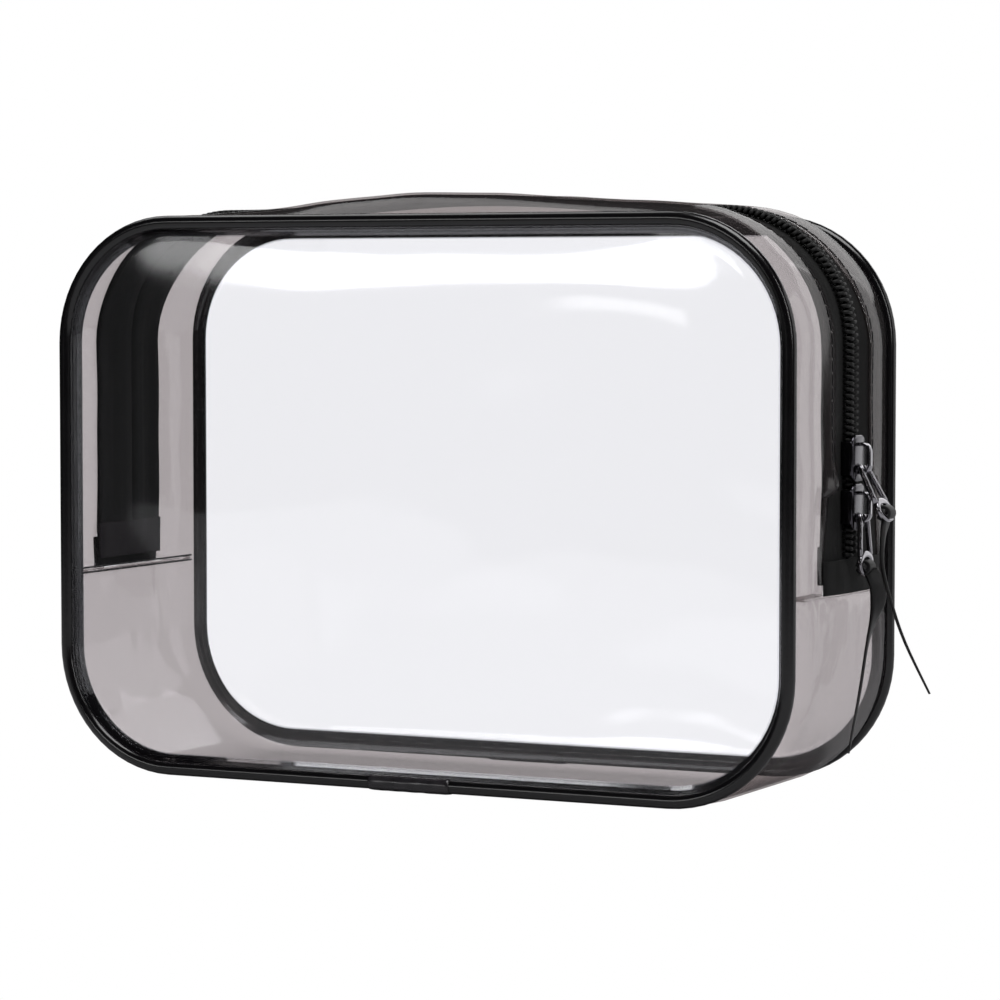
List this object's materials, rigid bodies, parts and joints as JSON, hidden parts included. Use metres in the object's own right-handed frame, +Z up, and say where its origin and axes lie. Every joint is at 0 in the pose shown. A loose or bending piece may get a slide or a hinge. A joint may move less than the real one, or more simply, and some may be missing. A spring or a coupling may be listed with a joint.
{
  "type": "clear makeup bag",
  "caption": "Boxy see-through makeup bag with clear panels, a smoke-tinted gusset, glossy black piping, and a zip over the top with hanging pull straps.",
  "frame": {"origin": "middle of the flat underside, on the surface the bag stands on", "axes": "+Z up, +X to the end with the parked sliders, -Y out of the front panel"},
  "size_m": [0.223, 0.0686, 0.1416],
  "materials": {
    "clear_vinyl": "clear glossy film",
    "smoke_vinyl": "smoke-tinted glossy film",
    "black_piping": "glossy extruded welt",
    "piping_join": "glossy sleeve",
    "zip_tape": "woven polyester",
    "nylon_coil": "nylon monofilament",
    "gunmetal": "dark plated zinc",
    "strap": "smooth coated strap"
  },
  "bodies": {
    "bag": {"front_panel": "clear_vinyl", "back_panel": "clear_vinyl", "bottom_gusset": "smoke_vinyl", "front_zip_strip": "smoke_vinyl", "back_zip_strip": "smoke_vinyl", "front_piping": "black_piping", "back_piping": "black_piping", "front_piping_join": "piping_join", "back_piping_join": "piping_join", "front_zip_tape": "zip_tape", "back_zip_tape": "zip_tape", "right_zip_end_patch": "zip_tape", "left_zip_end_patch": "zip_tape", "right_zip_end_lining": "zip_tape", "left_zip_end_lining": "zip_tape", "front_zip_coil": "nylon_coil", "back_zip_coil": "nylon_coil"},
    "upper_slider_body": {"upper_slider": "gunmetal", "upper_bail": "gunmetal"},
    "upper_pull_body": {"upper_pull": "gunmetal"},
    "upper_strap_body": {"upper_strap": "strap"},
    "lower_slider_body": {"lower_slider": "gunmetal", "lower_bail": "gunmetal"},
    "lower_pull_body": {"lower_pull": "gunmetal"},
    "lower_strap_body": {"lower_strap": "strap"}
  },
  "joints": [
    {"name": "upper_slider_travel", "type": "slide", "parent": "bag", "child": "upper_slider_body", "axis": [0, 0, 1], "range_m": [0, 0.021]},
    {"name": "upper_pull_swing", "type": "hinge", "parent": "upper_slider_body", "child": "upper_pull_body", "pos_m": [0.1038, 0, 0.0795], "axis": [0, -1, 0], "range_deg": [0, 130]},
    {"name": "upper_strap_swing", "type": "hinge", "parent": "upper_pull_body", "child": "upper_strap_body", "pos_m": [0.10943, 0, 0.0689], "axis": [0, -1, 0], "range_deg": [-2, 22]},
    {"name": "lower_slider_travel", "type": "slide", "parent": "bag", "child": "lower_slider_body", "axis": [0, 0, 1], "range_m": [-0.003, 0.0003]},
    {"name": "lower_pull_swing", "type": "hinge", "parent": "lower_slider_body", "child": "lower_pull_body", "pos_m": [0.1038, 0, 0.068], "axis": [0, -1, 0], "range_deg": [0, 14]},
    {"name": "lower_strap_swing", "type": "hinge", "parent": "lower_pull_body", "child": "lower_strap_body", "pos_m": [0.10443, 0, 0.05602], "axis": [0, -1, 0], "range_deg": [-2, 8]}
  ]
}
